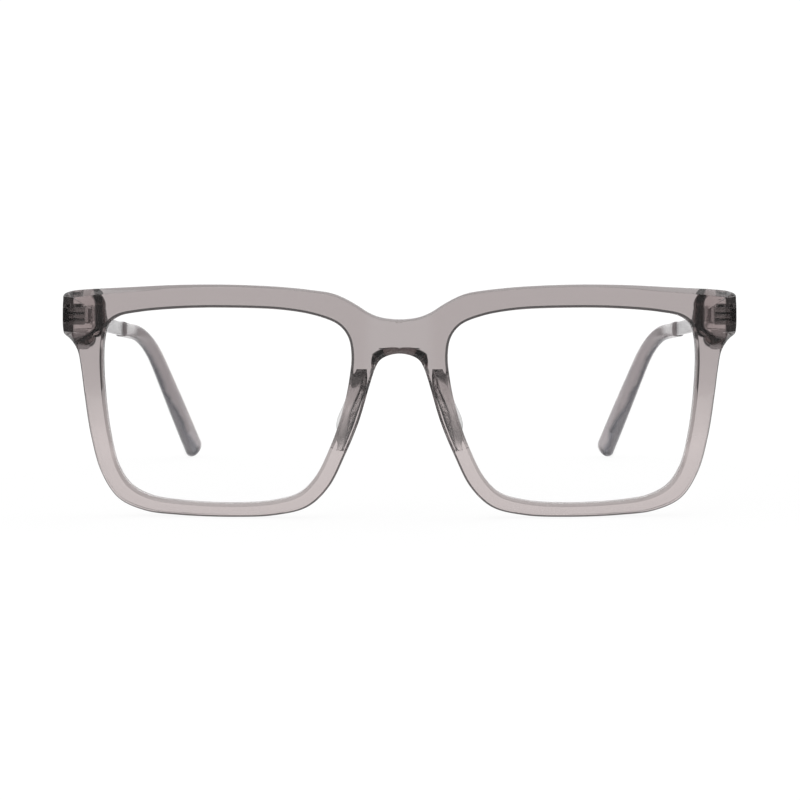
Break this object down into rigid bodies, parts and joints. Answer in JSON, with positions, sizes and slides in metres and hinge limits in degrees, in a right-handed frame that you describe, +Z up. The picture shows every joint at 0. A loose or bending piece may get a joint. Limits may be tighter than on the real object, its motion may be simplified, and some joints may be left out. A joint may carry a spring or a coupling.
{
  "type": "flat-top rectangular eyeglasses",
  "caption": "Flat-top rectangular eyeglasses: translucent acetate front, clear lenses, slim metal arms on spring hinges, translucent tips with metal cores.",
  "frame": {"origin": "the point of the table straight below the middle of the bridge, in the plane that touches the front's face there", "axes": "+X to the wearer's left, the front looks along -Y and the arms run to +Y, +Z up; the glasses stand on Z = 0 on the two rims and the two tips"},
  "size_m": [0.143, 0.1446, 0.0487],
  "materials": {
    "acetate": "polished translucent acetate",
    "lens": "clear and polished",
    "pad": "polished translucent acetate",
    "arm_metal": "satin silver",
    "hinge_metal": "bright machined",
    "spring_metal": "drawn wire",
    "tip_acetate": "polished translucent acetate"
  },
  "bodies": {
    "front": {"front_frame": "acetate", "left_lens": "lens", "right_lens": "lens", "left_nose_pad": "pad", "right_nose_pad": "pad", "left_front_hinge": "hinge_metal", "right_front_hinge": "hinge_metal", "left_hinge_screw": "hinge_metal", "right_hinge_screw": "hinge_metal"},
    "left_knuckle": {"left_slider": "hinge_metal", "left_shaft_nut": "spring_metal", "left_spring": "spring_metal"},
    "right_knuckle": {"right_slider": "hinge_metal", "right_shaft_nut": "spring_metal", "right_spring": "spring_metal"},
    "left_temple": {"left_arm": "arm_metal", "left_housing": "arm_metal", "left_spring_stop": "spring_metal", "left_tip": "tip_acetate"},
    "right_temple": {"right_arm": "arm_metal", "right_housing": "arm_metal", "right_spring_stop": "spring_metal", "right_tip": "tip_acetate"}
  },
  "joints": [
    {"name": "left_fold", "type": "hinge", "parent": "front", "child": "left_knuckle", "pos_m": [0.06765, 0.01655, 0.04177], "axis": [0, 0, 1], "range_deg": [-8, 85.5]},
    {"name": "right_fold", "type": "hinge", "parent": "front", "child": "right_knuckle", "pos_m": [-0.06765, 0.01655, 0.04177], "axis": [0, 0, -1], "range_deg": [-8, 80]},
    {"name": "left_spring_slide", "type": "slide", "parent": "left_knuckle", "child": "left_temple", "axis": [-0.0278, 0.9965, -0.0791], "range_m": [0, 0.0007], "stiffness_N_per_m": 7000, "springref_m": -0.0005, "deforming": ["left_spring"]},
    {"name": "right_spring_slide", "type": "slide", "parent": "right_knuckle", "child": "right_temple", "axis": [0.0278, 0.9965, -0.0791], "range_m": [0, 0.0007], "stiffness_N_per_m": 7000, "springref_m": -0.0005, "deforming": ["right_spring"]}
  ]
}
